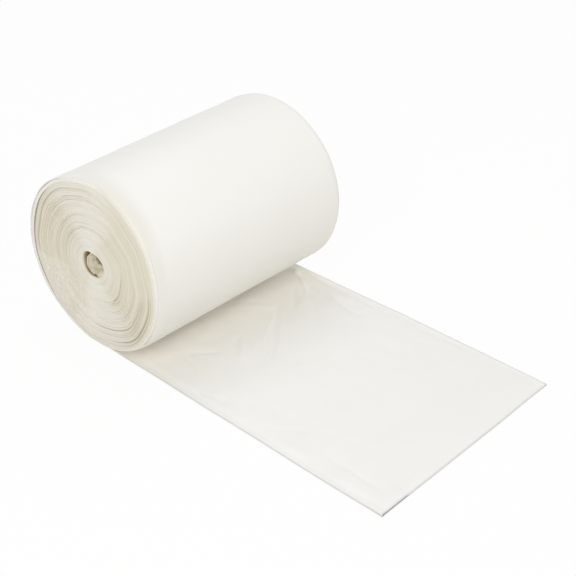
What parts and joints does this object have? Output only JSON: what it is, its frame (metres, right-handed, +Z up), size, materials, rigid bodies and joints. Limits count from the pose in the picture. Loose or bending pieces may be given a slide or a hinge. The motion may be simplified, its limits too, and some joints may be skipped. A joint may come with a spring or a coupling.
{
  "type": "bin bag roll",
  "caption": "Coreless roll of flat cream film bin bags lying on its side, with the first bag drawn out flat from under it, ready to tear off.",
  "frame": {"origin": "on the floor, under the roll's axis and half way along the film's width", "axes": "+X along the roll's axis from its slightly smaller end to its larger end, -Y the way the first bag is drawn out, +Z up"},
  "size_m": [0.3015, 0.5345, 0.2211],
  "materials": {
    "film": "satin"
  },
  "bodies": {
    "root": {"bag_roll": "film"}
  },
  "joints": []
}
